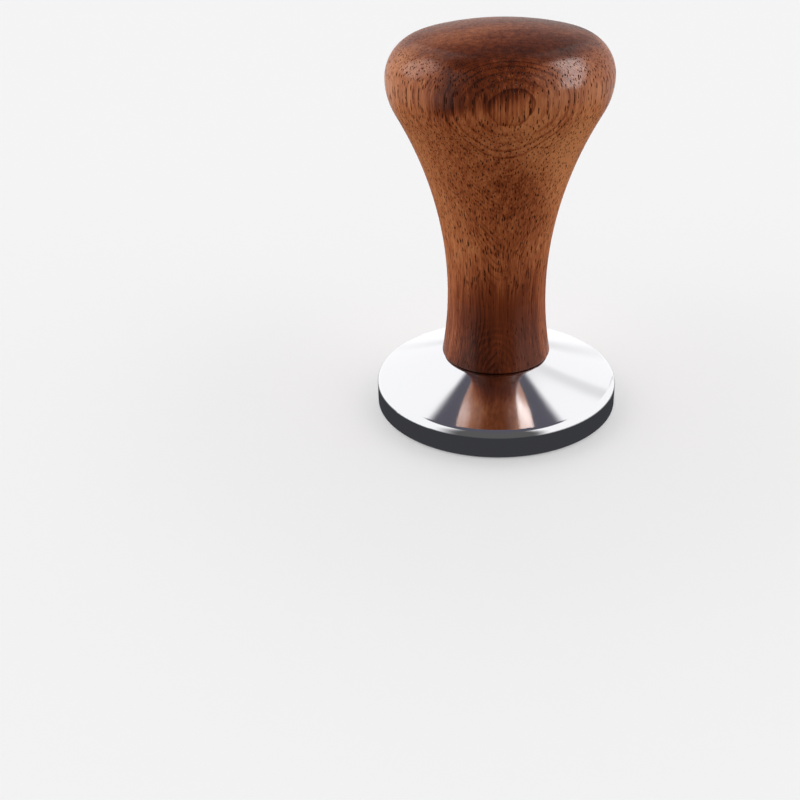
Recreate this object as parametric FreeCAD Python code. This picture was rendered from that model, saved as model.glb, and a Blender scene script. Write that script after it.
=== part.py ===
"""Espresso tamper, 58 mm: turned wooden handle screwed to a solid stainless steel base.

Millimetres, +Z up. The axis of the tamper is the Z axis, and the tamping face lies on z = 0.
"""
import FreeCAD
import Part

import math
import os

from FreeCAD import Vector

os.makedirs("parts", exist_ok=True)

# base: a piston band with a rolled edge, and a straight cone up to a flat seat
BASE_R = 29.0
FACE_CHAMFER = 0.3
EDGE_R = 1.8
EDGE_Z = 5.1
SEAT_R = 12.6
SEAT_Z = 12.6

# handle: foot, waist, long flare, belly, shoulder and dome, every arc tangent to the next
SEAT_GAP = 0.15
FOOT_Z = SEAT_Z + SEAT_GAP
FOOT_R = 13.0
FOOT_EDGE_R = 0.6
WAIST_R = 11.5
WAIST_Z = 29.0
FLARE_R = 86.5
BELLY_R = 24.6
BELLY_Z = 78.6
SHOULDER_R = 8.8
DOME_R = 70.5

# M8 x 1.25 thread, shared by the stud, the insert and the base
PITCH = 1.25
MAJOR_R = 4.0
STUD_ROOT_R = 3.233
NUT_MINOR_R = 3.3235
CREST_FLAT = PITCH / 8.0
FLANK_ANGLE = math.radians(30.0)
FIT = 0.05
STUD_RIDGE_R = 3.1
HOLE_RIDGE_R = 3.25

# where each thread starts and ends, in turns above the stud's lower end
STUD_TURNS = (0.4, 15.6)
BASE_TURNS = (0.1, 9.0)
INSERT_TURNS = (6.5, 19.5)

# stud: a set screw with a hex socket in its upper end
STUD_LENGTH = 20.0
STUD_Z = 3.6
STUD_CHAMFER = 0.7
SOCKET_FLATS = 4.0
SOCKET_DEPTH = 4.5

# blind hole in the base
HOLE_FLOOR = 3.0
MOUTH_R = 4.4

# washer in the counterbore of the foot
WASHER_R = 8.0
WASHER_HOLE_R = 4.4
WASHER_T = 1.2
COUNTERBORE_R = 8.3

# barbed brass insert
INSERT_Z = SEAT_Z + WASHER_T
INSERT_R = 5.6
INSERT_LENGTH = 12.0
BARB_COUNT = 5
BARB_DEPTH = 0.45
BORE_END = 1.4

# how far a cutter runs past the face it opens, and a blank past the thread's crest
PAST = 1.0
PROUD = 0.2


def edge(a, b):
    return Part.makeLine(Vector(a[0], 0, a[1]), Vector(b[0], 0, b[1]))


def polyline(points):
    return [edge(a, b) for a, b in zip(points, points[1:])]


def arc(centre, radius, start, end):
    """Arc in the XZ plane between two angles, measured from +X towards +Z."""
    def at(angle):
        return Vector(centre[0] + radius * math.cos(angle), 0, centre[1] + radius * math.sin(angle))
    return Part.Arc(at(start), at((start + end) / 2.0), at(end)).toShape()


def end_of(centre, radius, angle):
    return (centre[0] + radius * math.cos(angle), centre[1] + radius * math.sin(angle))


def revolve(edges):
    wire = Part.Wire(edges)
    return Part.Face(wire).revolve(Vector(0, 0, 0), Vector(0, 0, 1), 360)


def turned(points):
    return revolve(polyline(points + points[:1]))


def cylinder(radius, z0, z1):
    return Part.makeCylinder(radius, z1 - z0, Vector(0, 0, z0))


def ridge(root_r, gap, first_turn, last_turn):
    """Right-hand thread ridge, widened by the gap on its flanks and its crest.

    Turns are counted from the stud's lower end, and every ridge lies on the same helix.
    """
    crest_r = MAJOR_R + gap
    side = gap / math.cos(FLANK_ANGLE)
    crest = CREST_FLAT / 2.0 + side - gap * math.tan(FLANK_ANGLE)
    root = CREST_FLAT / 2.0 + side + (MAJOR_R - root_r) * math.tan(FLANK_ANGLE)
    corners = [
        Vector(root_r, 0, -root),
        Vector(crest_r, 0, -crest),
        Vector(crest_r, 0, crest),
        Vector(root_r, 0, root),
    ]
    profile = Part.makePolygon(corners + corners[:1])
    helix = Part.makeHelix(PITCH, (last_turn - first_turn) * PITCH, MAJOR_R)
    solid = Part.Wire(helix.Edges).makePipeShell([profile], True, True)
    solid.rotate(Vector(0, 0, 0), Vector(0, 0, 1), 360.0 * first_turn)
    solid.translate(Vector(0, 0, STUD_Z + first_turn * PITCH))
    return solid


def threaded_hole(body, z0, z1, first_turn, last_turn):
    drilled = body.cut(cylinder(NUT_MINOR_R, z0, z1))
    return drilled.cut(ridge(HOLE_RIDGE_R, FIT, first_turn, last_turn))


def base():
    """Steel piston: one turned piece, blind-tapped from the seat."""
    edge_centre = (BASE_R - EDGE_R, EDGE_Z)
    away = math.hypot(edge_centre[0] - SEAT_R, SEAT_Z - EDGE_Z)
    line = math.atan2(SEAT_Z - EDGE_Z, edge_centre[0] - SEAT_R)
    slope = line - math.asin(EDGE_R / away)
    edge_end = end_of(edge_centre, EDGE_R, math.pi / 2.0 - slope)
    outline = polyline([(0, 0), (BASE_R - FACE_CHAMFER, 0), (BASE_R, FACE_CHAMFER), (BASE_R, EDGE_Z)])
    outline.append(arc(edge_centre, EDGE_R, 0, math.pi / 2.0 - slope))
    outline += polyline([edge_end, (SEAT_R, SEAT_Z), (0, SEAT_Z), (0, 0)])
    blank = revolve(outline)
    tapped = threaded_hole(blank, HOLE_FLOOR, SEAT_Z + PAST, *BASE_TURNS)
    sink = turned([(0, SEAT_Z - MOUTH_R), (MOUTH_R, SEAT_Z), (MOUTH_R, SEAT_Z + PAST), (0, SEAT_Z + PAST)])
    return tapped.cut(sink)


def handle():
    """Turned wooden handle with a counterbore and a blind bore for the insert."""
    drop = WAIST_Z - FOOT_Z
    swell = FOOT_R - WAIST_R
    foot_arc_r = (drop * drop + swell * swell) / (2.0 * swell)
    foot_centre = (WAIST_R + foot_arc_r, WAIST_Z)
    edge_angle = math.pi + math.asin((drop - FOOT_EDGE_R) / foot_arc_r)
    foot_end = end_of(foot_centre, foot_arc_r, edge_angle)
    flare_centre = (WAIST_R + FLARE_R, WAIST_Z)
    reach = flare_centre[0] - BELLY_R
    height = BELLY_Z - WAIST_Z
    side_r = (reach * reach + height * height - FLARE_R * FLARE_R) / (2.0 * (FLARE_R - reach))
    side_centre = (BELLY_R - side_r, BELLY_Z)
    turn = math.atan2(height, reach + side_r)
    shoulder_centre = (BELLY_R - SHOULDER_R, BELLY_Z)
    dome_drop = math.sqrt((DOME_R - SHOULDER_R) ** 2 - shoulder_centre[0] ** 2)
    dome_centre = (0.0, BELLY_Z - dome_drop)
    shoulder = math.atan2(dome_drop, shoulder_centre[0])
    outline = [
        edge((0, FOOT_Z), (foot_end[0] - FOOT_EDGE_R, FOOT_Z)),
        arc((foot_end[0] - FOOT_EDGE_R, FOOT_Z + FOOT_EDGE_R), FOOT_EDGE_R, -math.pi / 2.0, 0),
        arc(foot_centre, foot_arc_r, edge_angle, math.pi),
        arc(flare_centre, FLARE_R, math.pi, math.pi - turn),
        arc(side_centre, side_r, -turn, 0),
        arc(shoulder_centre, SHOULDER_R, 0, shoulder),
        arc(dome_centre, DOME_R, shoulder, math.pi / 2.0),
        edge((0, dome_centre[1] + DOME_R), (0, FOOT_Z)),
    ]
    solid = revolve(outline)
    bore_top = INSERT_Z + INSERT_LENGTH
    solid = solid.cut(cylinder(COUNTERBORE_R, FOOT_Z - PAST, INSERT_Z))
    solid = solid.cut(cylinder(INSERT_R, INSERT_Z - PAST, bore_top))
    return solid.cut(cylinder(MOUTH_R, bore_top - PAST, bore_top + BORE_END))


def insert():
    """Brass sleeve, barbed outside and tapped inside."""
    z0 = INSERT_Z
    z1 = INSERT_Z + INSERT_LENGTH
    step = INSERT_LENGTH / (BARB_COUNT + 1)
    points = [(0, z0), (INSERT_R, z0), (INSERT_R, z0 + step)]
    for n in range(1, BARB_COUNT + 1):
        z = z0 + n * step
        points += [(INSERT_R - BARB_DEPTH, z), (INSERT_R, z + step)]
    points[-1] = (INSERT_R - BARB_DEPTH / 2.0, z1)
    points.append((0, z1))
    blank = turned(points)
    tapped = threaded_hole(blank, z0 - PAST, z1 + PAST, *INSERT_TURNS)
    sink = turned([(0, z0 - PAST), (MOUTH_R + PAST, z0 - PAST), (0, z0 + MOUTH_R)])
    return tapped.cut(sink)


def stud():
    """Set screw: right-hand thread from end to end and a hex socket in the upper end."""
    top = STUD_Z + STUD_LENGTH
    threaded = cylinder(STUD_ROOT_R, STUD_Z, top).fuse(ridge(STUD_RIDGE_R, 0.0, *STUD_TURNS))
    blank = turned([
        (0, STUD_Z),
        (MAJOR_R - STUD_CHAMFER, STUD_Z),
        (MAJOR_R + PROUD, STUD_Z + STUD_CHAMFER + PROUD),
        (MAJOR_R + PROUD, top - STUD_CHAMFER - PROUD),
        (MAJOR_R - STUD_CHAMFER, top),
        (0, top),
    ])
    reach = SOCKET_FLATS / math.sqrt(3.0)
    angles = [math.radians(60.0 * n) for n in range(7)]
    corners = [Vector(reach * math.cos(a), reach * math.sin(a), top - SOCKET_DEPTH) for a in angles]
    hexagon = Part.Face(Part.makePolygon(corners)).extrude(Vector(0, 0, SOCKET_DEPTH + PAST))
    return threaded.common(blank).cut(hexagon)


def washer():
    """Flat rubber washer: it carries the handle and keeps the wood off the steel."""
    ring = cylinder(WASHER_R, SEAT_Z, SEAT_Z + WASHER_T)
    return ring.cut(cylinder(WASHER_HOLE_R, SEAT_Z - PAST, SEAT_Z + WASHER_T + PAST))


def save(name, shape):
    solids = shape.Solids
    if len(solids) != 1 or not solids[0].isValid():
        raise SystemExit(name + " is not one sound solid")
    solids[0].exportStep("parts/" + name + ".step")


save("base", base())
save("handle", handle())
save("threaded_insert", insert())
save("stud", stud())
save("seat_washer", washer())
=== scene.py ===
"""Looks, lights and camera for the espresso tamper. Metres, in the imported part's frame."""

import math

import bpy
from mathutils import Matrix, Quaternion, Vector


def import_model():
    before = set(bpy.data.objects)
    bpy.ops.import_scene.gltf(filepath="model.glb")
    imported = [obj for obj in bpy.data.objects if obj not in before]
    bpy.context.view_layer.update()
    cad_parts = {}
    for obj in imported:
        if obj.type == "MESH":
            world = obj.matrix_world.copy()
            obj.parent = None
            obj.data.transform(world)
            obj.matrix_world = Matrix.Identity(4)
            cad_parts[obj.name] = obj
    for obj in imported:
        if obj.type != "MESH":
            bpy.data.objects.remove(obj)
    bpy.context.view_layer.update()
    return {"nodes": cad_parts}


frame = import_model()

scene = bpy.context.scene
nodes_of = frame["nodes"]

# ---------------------------------------------------------------- camera
CAMERA_PLACE = (-0.0237, -0.2407, 0.1361)
CAMERA_PITCH = 29.55
CAMERA_ROLL = -2.06
CAMERA_LENS = 50.0
SENSOR_WIDTH = 36.0


def make_camera():
    data = bpy.data.cameras.new("camera")
    data.lens = CAMERA_LENS
    data.sensor_width = SENSOR_WIDTH
    data.clip_start = 0.01
    data.clip_end = 20.0
    cam = bpy.data.objects.new("camera", data)
    tilt = Matrix.Rotation(math.radians(90.0 - CAMERA_PITCH), 4, "X")
    roll = Matrix.Rotation(math.radians(CAMERA_ROLL), 4, "Z")
    cam.matrix_world = Matrix.Translation(CAMERA_PLACE) @ tilt @ roll
    scene.collection.objects.link(cam)
    scene.camera = cam


# ---------------------------------------------------------------- node helpers
class Tree:
    """Short ways to add nodes to one node tree."""

    def __init__(self, tree):
        self.tree = tree
        self.shader = tree.nodes.get("Principled BSDF")

    def new(self, kind):
        return self.tree.nodes.new("ShaderNode" + kind)

    def link(self, source, target):
        self.tree.links.new(source, target)

    def feed(self, socket, value):
        """Link a socket to another one, or set it to a plain value."""
        if isinstance(value, bpy.types.NodeSocket):
            self.link(value, socket)
        else:
            socket.default_value = value

    def shade(self, inputs):
        for name, value in inputs.items():
            self.feed(self.shader.inputs[name], value)

    def math(self, operation, a, b=0.0):
        made = self.new("Math")
        made.operation = operation
        self.feed(made.inputs[0], a)
        self.feed(made.inputs[1], b)
        return made.outputs[0]

    def chain(self, operation, values):
        result = values[0]
        for value in values[1:]:
            result = self.math(operation, result, value)
        return result

    def add(self, *values):
        return self.chain("ADD", values)

    def times(self, *values):
        return self.chain("MULTIPLY", values)

    def less(self, a, b):
        return self.math("SUBTRACT", a, b)

    def away(self, across, up, weight=1.0):
        """Distance from a centre, from the steps across and up; the weight is for the step up."""
        return self.math("SQRT", self.add(self.times(across, across), self.times(up, up, weight)))

    def calmed(self, value, amount):
        """A value between 0 and 1, drawn towards its middle."""
        return self.add(value, self.times(self.less(0.5, value), amount))

    def span(self, value, low, high, to_low=0.0, to_high=1.0, smooth=True):
        """Take the stretch from low to high onto the one from to_low to to_high."""
        made = self.new("MapRange")
        made.interpolation_type = "SMOOTHSTEP" if smooth else "LINEAR"
        self.feed(made.inputs[0], value)
        for n, number in enumerate((low, high, to_low, to_high)):
            self.feed(made.inputs[1 + n], number)
        return made.outputs[0]

    def scaled(self, vector, scale, shift=(0, 0, 0)):
        made = self.new("Mapping")
        self.link(vector, made.inputs["Vector"])
        made.inputs["Scale"].default_value = scale
        made.inputs["Location"].default_value = shift
        return made.outputs[0]

    def noise(self, vector, scale, shift=(0, 0, 0), detail=3.0, rough=0.5):
        """Noise with its scale along X, Y and Z, and a shift that makes it differ from the others."""
        made = self.new("TexNoise")
        self.link(self.scaled(vector, scale, shift), made.inputs["Vector"])
        made.inputs["Scale"].default_value = 1.0
        made.inputs["Detail"].default_value = detail
        made.inputs["Roughness"].default_value = rough
        return made.outputs["Fac"]

    def mix(self, amount, a, b):
        made = self.new("Mix")
        made.data_type = "RGBA"
        self.feed(made.inputs[0], amount)
        self.feed(made.inputs[6], a)
        self.feed(made.inputs[7], b)
        return made.outputs[2]

    def ramp(self, value, stops):
        made = self.new("ValToRGB")
        self.link(value, made.inputs[0])
        marks = made.color_ramp.elements
        while len(marks) < len(stops):
            marks.new(0.5)
        for mark, (place, colour) in zip(marks, stops):
            mark.position = place
            mark.color = colour
        return made.outputs[0]

    def bump(self, height, strength, distance):
        made = self.new("Bump")
        made.inputs["Strength"].default_value = strength
        made.inputs["Distance"].default_value = distance
        self.link(height, made.inputs["Height"])
        return made.outputs[0]

    def vector(self, x, y=0.0):
        made = self.new("CombineXYZ")
        self.feed(made.inputs[0], x)
        self.feed(made.inputs[1], y)
        return made.outputs[0]

    def grey(self, value):
        made = self.new("CombineColor")
        for n in range(3):
            self.link(value, made.inputs[n])
        return made.outputs[0]

    def split(self, vector):
        made = self.new("SeparateXYZ")
        self.link(vector, made.inputs[0])
        return made.outputs

    def coordinate(self, kind):
        return self.new("TexCoord").outputs[kind]


def rgb(red, green, blue):
    return (red, green, blue, 1.0)


def new_material(name):
    material = bpy.data.materials.new(name)
    material.use_nodes = True
    return material, Tree(material.node_tree)


# ---------------------------------------------------------------- wood
# Places are in millimetres: X to the right, Y to the back, Z up from the tamping face.
# A pair named _Z, _Y, _DEPTH, _SIZE or _RISE is the stretch over which a feature fades in.
MM_PER_METRE = 1000.0

# Growth layers are stacked along Y. Depth is a place's Y, bent by this many millimetres of noise.
BEND = 3.4
RIPPLE = 0.9

# growth lines, and the swing of their spacing
LINES_PER_MM = 2.3
SWING = 4.2
SWING_START = 12.2
SWING_RATE = 0.314

# how far the surface faces up, from the first end grain to full end grain
END_GRAIN = (0.66, 0.96)

# how much the fibres are evened out on the end grain and low on the front
END_GRAIN_CALM = 0.65
LOW_FRONT_CALM = 0.55

# the belly's front, where the layers show as rings
RINGS_DEPTH = (-18.5, -21.5)
CORE_Y = (-23.85, -24.40)
CAP_CENTRE = (-4.5, 77.5)
CAP_SIZE = (12.5, 7.5)
CAP_FLATTENING = 0.5
CAP_TILT = 0.25
CAP_RISE = (0.0, 3.5)
CAP_Y = (-12.0, -17.0)
PATCH_CENTRE = (13.0, 71.0)
PATCH_SIZE = (17.0, 5.0)
PATCH_Y = (-8.0, -14.0)

# the tone's slope towards the right, at the two ends of SIDE_Z
SIDE_Z = (78.0, 66.0)
SIDE_SLOPE = (-0.0018, 0.0014)

# the paler back, and painted light that makes the flare's flanks paler, by how far a place lies to the
# side of the axis
BACK_DEPTH = (-17.0, -5.0)
FLANK_TURN = (0.40, 0.85)
FLANK_LOW_Z = (46.0, 58.0)
FLANK_HIGH_Z = (76.0, 68.0)

# the foot: painted shade makes it darker all round and more so in front, where it is also plainer and
# has pale arcs
FOOT_Z = (44.0, 22.0)
PAINTED_FOOT_SHADE = 0.125
PAINTED_FRONT_SHADE_Z = (46.0, 22.0)
PAINTED_FRONT_SHADE_DEPTH = (-5.5, -11.0)
PLAIN_Z = (44.0, 30.0)
PLAIN_STRAND = 0.60
LOW_FRONT_Z = (35.0, 27.0)
FRONT_DEPTH = (-8.0, -11.0)
ARCS_CENTRE = (-1.0, 12.5)
ARCS_FLATTENING = 0.40
ARCS_PER_MM = 0.95
ARCS_BEND = 6.0
ARCS_RIPPLE = 2.5
ARCS_Z = (29.0, 20.0)

# vessels, with their width at the two ends of VESSEL_WIDTH_Z
VESSELS_PER_MM = 1.65
VESSEL_LEAN = (1.3, 1.1)
VESSEL_WIDTH_Z = (22.0, 42.0)
VESSEL_WIDTH = (0.12, 0.23)
VESSEL_COLOUR = rgb(0.020, 0.005, 0.0020)

# The tone runs along this ramp, and is a sum with these weights: above 0 makes the wood paler.
TONE_COLOURS = [
    (0.27, rgb(0.040, 0.0065, 0.0020)),
    (0.41, rgb(0.140, 0.0270, 0.0065)),
    (0.52, rgb(0.285, 0.0760, 0.0240)),
    (0.68, rgb(0.480, 0.1750, 0.0640)),
]
DRIFT_TONE = 0.34
STRAND_TONE = 0.26
FIBRE_TONE = 0.40
LINE_TONE = -0.120
BACK_TONE = 0.085
# painted shade, low on the front
PAINTED_FRONT_SHADE_TONE = -0.095
ARCS_TONE = 0.045
# painted light on the flare's left and right sides
PAINTED_FLANK_LIGHT_TONE = 0.055
CAP_TONE = -0.150
PATCH_TONE = 0.120
# darker end grain: partly the wood's own and partly painted shade on the upward-facing dome
END_GRAIN_AND_PAINTED_SHADE_TONE = -0.125
STREAK_TONE = (-0.090, -0.005)


def growth_lines(t, where, depth, end_grain):
    """Dark lines between the layers. Their spacing swings between fine and coarse every 20 mm.

    A line darkens slowly through its layer and ends quickly, and it is fainter in places.
    """
    swing = t.math("SINE", t.times(t.add(depth, SWING_START), SWING_RATE))
    ring = t.math("FRACT", t.add(t.times(depth, LINES_PER_MM), t.times(swing, SWING)))
    line = t.times(t.span(ring, 0.50, 0.92), t.span(ring, 1.0, 0.92))
    patchy = t.noise(where, (0.16, 0.16, 0.07), (9.0, 4.0, 3.0), 1.0)
    uneven = t.noise(t.vector(depth), (1.1, 1.1, 1.1), detail=0.0)
    show = t.add(
        t.span(patchy, 0.45, 0.66, 0.08, 0.60),
        t.times(end_grain, 0.25),
        t.span(depth, *RINGS_DEPTH, 0.0, 0.85),
    )
    return t.times(line, show, t.span(uneven, 0.30, 0.55, 0.35, 1.0))


def foot_arcs(t, x, z, bend, ripple, strand):
    """Fine pale arcs around a centre under the foot."""
    spread = t.away(t.less(x, ARCS_CENTRE[0]), t.less(z, ARCS_CENTRE[1]), ARCS_FLATTENING)
    spread = t.add(spread, t.times(bend, ARCS_BEND), t.times(ripple, ARCS_RIPPLE))
    turn = t.math("FRACT", t.times(spread, ARCS_PER_MM))
    arcs = t.times(t.span(turn, 0.15, 0.5), t.span(turn, 0.85, 0.5))
    return t.times(arcs, t.span(z, *ARCS_Z), t.span(strand, 0.40, 0.60, 0.4, 1.0))


def painted_flank_light(t, x, y, z):
    """Painted light: the flare's left and right sides, which the tone makes paler as if lit from both
    sides.
    """
    aside = t.math("DIVIDE", t.math("ABSOLUTE", x), t.math("MAXIMUM", t.away(x, y), 0.1))
    return t.times(t.span(aside, *FLANK_TURN), t.span(z, *FLANK_LOW_Z), t.span(z, *FLANK_HIGH_Z))


def core_streaks(t, where, y):
    """Upright streaks inside the smallest ring."""
    streak = t.noise(where, (2.3, 0.0, 0.05), (5.0, 2.0, 1.0), 0.0)
    return t.times(t.span(y, *CORE_Y), t.span(streak, 0.42, 0.56, *STREAK_TONE, smooth=False))


def cap(t, x, y, z, end_grain):
    """A dark cap over the rings, cut off along a slanting lower edge."""
    up = t.less(z, CAP_CENTRE[1])
    reach = t.away(t.less(x, CAP_CENTRE[0]), up, CAP_FLATTENING)
    above_edge = t.span(t.less(up, t.times(x, CAP_TILT)), *CAP_RISE)
    on_side = t.span(end_grain, 0.0, 1.0, 1.0, 0.25)
    return t.times(t.span(reach, *CAP_SIZE), above_edge, t.span(y, *CAP_Y), on_side)


def patch(t, x, y, z):
    """A warm patch to the right of the rings' core."""
    reach = t.away(t.less(x, PATCH_CENTRE[0]), t.less(z, PATCH_CENTRE[1]))
    return t.times(t.span(reach, *PATCH_SIZE), t.span(y, *PATCH_Y))


def vessels(t, where, x, y, z):
    """Thin tubes along Z, so they show as dashes on a flank and as dots on the dome."""
    sway = t.noise(where, (0.30, 0.30, 0.10), (1.0, 8.0, 0.0), 2.0)
    leaning = [t.add(side, t.times(sway, lean)) for side, lean in zip((x, y), VESSEL_LEAN)]
    cells = t.new("TexVoronoi")
    cells.voronoi_dimensions = "2D"
    t.link(t.vector(*leaning), cells.inputs["Vector"])
    cells.inputs["Scale"].default_value = VESSELS_PER_MM
    breaks = t.noise(where, (2.3, 2.3, 0.80), (4.0, 0.0, 6.0), 1.0)
    wide = t.span(breaks, 0.34, 0.54, 0.0, t.span(z, *VESSEL_WIDTH_Z, *VESSEL_WIDTH))
    return t.span(t.less(wide, cells.outputs["Distance"]), -0.02, 0.03)


def wood():
    """Flat-sawn hardwood under clear lacquer. Fibres and vessels run along Z."""
    material, t = new_material("lacquered_wood")
    where = t.scaled(t.coordinate("Object"), (MM_PER_METRE,) * 3)
    x, y, z = t.split(where)
    end_grain = t.span(t.split(t.coordinate("Normal"))[2], *END_GRAIN)

    bend = t.noise(where, (0.035, 0.035, 0.011), (3.1, 0.4, 1.7), 2.0)
    ripple = t.noise(where, (0.16, 0.16, 0.03), (0.3, 2.2, 5.0), 2.0)
    depth = t.add(y, t.times(t.less(bend, 0.5), BEND), t.times(t.less(ripple, 0.5), RIPPLE))

    # the grain, calmer on the dome and low on the front
    drift = t.noise(where, (0.05, 0.09, 0.020), (7.0, 1.0, 2.0), 3.0, 0.6)
    strand = t.noise(where, (0.9, 0.9, 0.020), (2.0, 5.0, 1.0), 3.0, 0.55)
    fibre = t.noise(where, (3.4, 3.4, 0.13), detail=4.0, rough=0.65)
    low_front = t.times(t.span(z, *LOW_FRONT_Z), t.span(depth, *FRONT_DEPTH))
    calm = t.add(t.times(end_grain, END_GRAIN_CALM), t.times(low_front, LOW_FRONT_CALM))
    fibre = t.calmed(fibre, calm)
    plain = t.times(t.span(z, *PLAIN_Z, 0.0, PLAIN_STRAND), t.span(depth, *FRONT_DEPTH))
    # painted shade: darker low on the front of the flare and foot
    painted_front_shade = t.times(t.span(z, *PAINTED_FRONT_SHADE_Z), t.span(depth, *PAINTED_FRONT_SHADE_DEPTH))

    tone = t.add(
        t.times(drift, DRIFT_TONE),
        t.times(t.calmed(strand, plain), STRAND_TONE),
        t.times(fibre, FIBRE_TONE),
        t.times(growth_lines(t, where, depth, end_grain), LINE_TONE),
        t.times(x, t.span(z, *SIDE_Z, *SIDE_SLOPE)),
        t.times(t.span(depth, *BACK_DEPTH), BACK_TONE),
        # painted shade, low on the front
        t.times(painted_front_shade, PAINTED_FRONT_SHADE_TONE),
        # painted shade: the foot darker all round, more so towards the bottom
        t.span(z, *FOOT_Z, 0.0, -PAINTED_FOOT_SHADE),
        t.times(foot_arcs(t, x, z, bend, ripple, strand), low_front, ARCS_TONE),
        # painted light: the flare's sides paler, as if lit from both sides
        t.times(painted_flank_light(t, x, y, z), PAINTED_FLANK_LIGHT_TONE),
        core_streaks(t, where, y),
        t.times(cap(t, x, y, z, end_grain), CAP_TONE),
        t.times(patch(t, x, y, z), PATCH_TONE),
        # darker end grain, partly the wood's own and partly painted shade where the surface faces up
        t.times(end_grain, END_GRAIN_AND_PAINTED_SHADE_TONE),
    )

    # the lacquer doesn't bridge the vessels
    pore = vessels(t, where, x, y, z)
    filled = t.times(pore, t.span(end_grain, 0.0, 1.0, 0.86, 0.32))
    normal = t.bump(t.less(t.times(fibre, 0.10), pore), 0.5, 0.00008)
    t.shade({
        "Base Color": t.mix(filled, t.ramp(tone, TONE_COLOURS), VESSEL_COLOUR),
        "Roughness": t.span(fibre, 0.3, 0.7, 0.50, 0.60),
        "Specular IOR Level": 0.0,
        "Coat Weight": t.span(pore, 0.0, 1.0, 0.40, 0.0, smooth=False),
        "Coat Roughness": 0.22,
        "Coat IOR": 1.5,
        "Normal": normal,
        "Coat Normal": normal,
    })
    return material


# ---------------------------------------------------------------- metals and rubber
TURNING_LINES = 9000.0


def metal(name, colour, roughness, line_height):
    """Turned metal: fine rings about the axis."""
    material, t = new_material(name)
    where = t.coordinate("Object")
    x, y, z = t.split(where)
    along = t.add(t.times(t.away(x, y), TURNING_LINES), t.times(z, TURNING_LINES * 0.6))
    marks = t.noise(t.vector(along), (1, 1, 1), detail=4.0, rough=0.7)
    cloud = t.noise(where, (90, 90, 90))
    mixed = t.add(t.times(marks, 0.6), t.times(cloud, 0.4))
    t.shade({
        "Base Color": colour,
        "Metallic": 1.0,
        "Roughness": t.span(mixed, 0.3, 0.7, roughness * 0.75, roughness * 1.25),
        "Normal": t.bump(marks, 0.25, line_height),
    })
    return material


def rubber():
    material, t = new_material("black_rubber")
    grain = t.noise(t.coordinate("Object"), (2600, 2600, 2600))
    t.shade({
        "Base Color": t.ramp(grain, [(0.3, rgb(0.010, 0.010, 0.011)), (0.7, rgb(0.028, 0.028, 0.029))]),
        "Roughness": 0.62,
        "Normal": t.bump(grain, 0.3, 0.00004),
    })
    return material


def dress(name, material):
    for slot in nodes_of[name].material_slots:
        slot.material = material


# ---------------------------------------------------------------- stage and lights
FLOOR_HALF = 6.0
FLOOR_DROP = 0.0002
FLOOR_COLOUR = rgb(0.78, 0.78, 0.78)
FLOOR_GLOW = 0.20


def floor():
    """A matt pale floor that neither reflections nor bounced light can see."""
    mesh = bpy.data.meshes.new("floor")
    signs = [(-1, -1), (1, -1), (1, 1), (-1, 1)]
    mesh.from_pydata([(FLOOR_HALF * a, FLOOR_HALF * b, 0) for a, b in signs], [], [(0, 1, 2, 3)])
    plane = bpy.data.objects.new("floor", mesh)
    scene.collection.objects.link(plane)
    plane.location = (0, 0, -FLOOR_DROP)
    material, t = new_material("pale_floor")
    t.shade({
        "Base Color": FLOOR_COLOUR,
        "Roughness": 1.0,
        "Specular IOR Level": 0.0,
        "Emission Color": rgb(1.0, 1.0, 1.0),
        "Emission Strength": FLOOR_GLOW,
    })
    mesh.materials.append(material)
    plane.visible_glossy = False
    plane.visible_diffuse = False


# brightness and colours of the surroundings
WALL = 1.18
SOFT_WALL = 1.75
SOFT_GAP = 0.55
GROUND = rgb(0.050, 0.051, 0.057)
CEILING = rgb(0.115, 0.112, 0.138)
BACKDROP = rgb(0.878, 0.882, 0.890)

# The gap in front runs from its dark part to the white wall, on the left and on the right.
# These are the Y of a level direction, which is -1 straight in front.
GAP_DARK = (-0.80, -0.88)
GAP_WHITE = (-0.45, -0.70)
GAP_LIGHT = 0.10
SOFT_GAP_FADE = (-1.00, -0.30)
LEFT_TO_RIGHT = (-0.1, 0.1)

# a heading is in radians from the back towards the right, and a height is the direction's Z
PANEL_JOINT = math.radians(38.0)
JOINT_FADE = (0.010, 0.050)
JOINT_DIM = 0.78
BEHIND_LEFT = (-0.20, -0.12)
BEHIND_RIGHT = (0.45, 0.33)
BEHIND_HEIGHT = (-0.02, 0.60)
SHARP_CEILING = (0.825, 0.862)
SHARP_GROUND = (-0.47, -0.24)
SOFT_CEILING = (0.75, 0.92)
SOFT_GROUND = (-0.85, -0.35)


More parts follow.
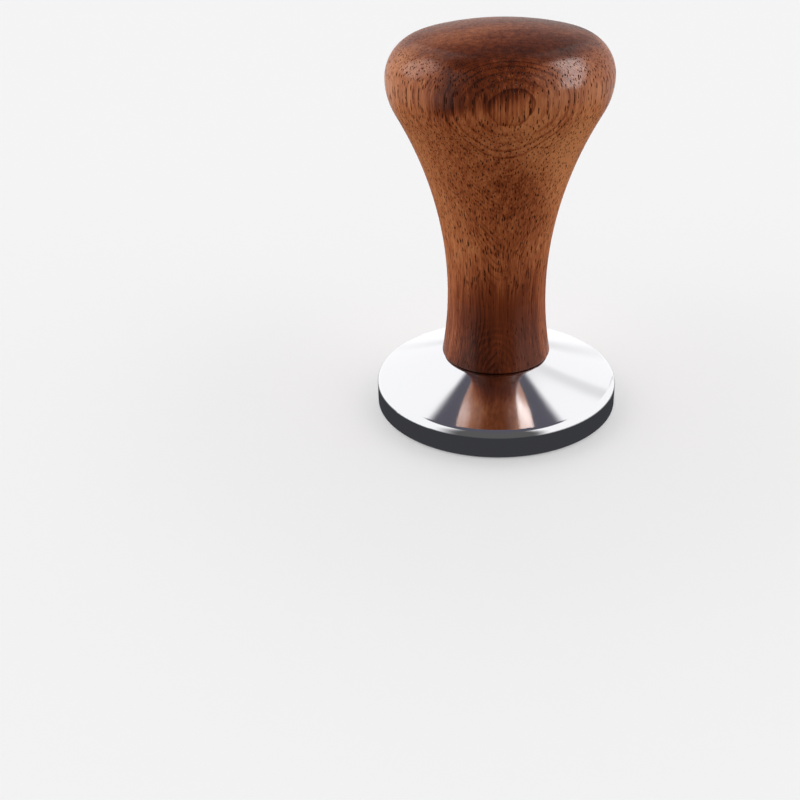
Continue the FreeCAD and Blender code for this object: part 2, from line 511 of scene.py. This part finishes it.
def world():
    """White walls with a dim gap in front, a dim patch behind, a dim ceiling and dark ground.

    Diffuse light comes from a softer version, and the camera sees a plain backdrop.
    """
    made = bpy.data.worlds.new("studio")
    scene.world = made
    made.use_nodes = True
    t = Tree(made.node_tree)
    x, y, z = t.split(t.coordinate("Generated"))
    facing = t.math("DIVIDE", y, t.math("MAXIMUM", t.away(x, y), 0.001))
    heading = t.math("ARCTAN2", x, y)

    # sharp, for reflections
    off_joint = t.math("ABSOLUTE", t.less(heading, PANEL_JOINT))
    panels = t.span(off_joint, *JOINT_FADE, JOINT_DIM * WALL, WALL)
    gap_dark = t.span(x, *LEFT_TO_RIGHT, *GAP_DARK)
    gap_white = t.span(x, *LEFT_TO_RIGHT, *GAP_WHITE)
    wall = t.grey(t.times(t.span(facing, gap_dark, gap_white, GAP_LIGHT, 1.0), panels))
    sharp = t.mix(t.span(z, *SHARP_CEILING), wall, CEILING)
    behind = t.times(t.span(heading, *BEHIND_LEFT), t.span(heading, *BEHIND_RIGHT))
    fade = t.times(behind, t.span(z, *BEHIND_HEIGHT, smooth=False))
    sharp = t.mix(fade, sharp, CEILING)
    sharp = t.mix(t.span(z, *SHARP_GROUND), GROUND, sharp)

    # soft, for diffuse light: the ground starts lower down
    wall = t.grey(t.span(facing, *SOFT_GAP_FADE, SOFT_GAP, SOFT_WALL))
    soft = t.mix(t.span(z, *SOFT_CEILING), wall, CEILING)
    soft = t.mix(t.span(z, *SOFT_GROUND), GROUND, soft)

    path = t.new("LightPath").outputs
    colour = t.mix(path["Is Diffuse Ray"], sharp, soft)
    back = made.node_tree.nodes["Background"]
    t.link(t.mix(path["Is Camera Ray"], colour, BACKDROP), back.inputs[0])


def softbox(name, place, target, size, power, roll=0.0):
    """A light that only shows as a highlight on the handle."""
    data = bpy.data.lights.new(name, "AREA")
    data.shape = "RECTANGLE"
    data.size, data.size_y = size
    data.energy = power
    light = bpy.data.objects.new(name, data)
    light.location = place
    aim = (Vector(target) - Vector(place)).to_track_quat("-Z", "Y")
    light.rotation_mode = "QUATERNION"
    light.rotation_quaternion = aim @ Quaternion((0, 0, 1), math.radians(roll))
    light.visible_diffuse = False
    light.light_linking.receiver_collection = lacquered
    scene.collection.objects.link(light)


scene.view_settings.view_transform = "Standard"
make_camera()
dress("base", metal("polished_steel", rgb(0.78, 0.78, 0.80), 0.07, 0.000003))
dress("handle", wood())
dress("threaded_insert", metal("insert_brass", rgb(0.80, 0.57, 0.24), 0.25, 0.00001))
dress("stud", metal("stud_steel", rgb(0.52, 0.52, 0.54), 0.30, 0.00001))
dress("seat_washer", rubber())
floor()
world()
lacquered = bpy.data.collections.new("lacquered")
lacquered.objects.link(nodes_of["handle"])
softbox(
    "shine_right",
    place=(0.76, -0.08, 0.56),
    target=(0.01, -0.02, 0.082),
    size=(0.40, 1.00),
    power=13.5,
    roll=-40.0,
)
softbox(
    "shine_left",
    place=(-0.66, 0.28, 0.54),
    target=(-0.015, -0.015, 0.084),
    size=(0.45, 0.55),
    power=2.8,
)
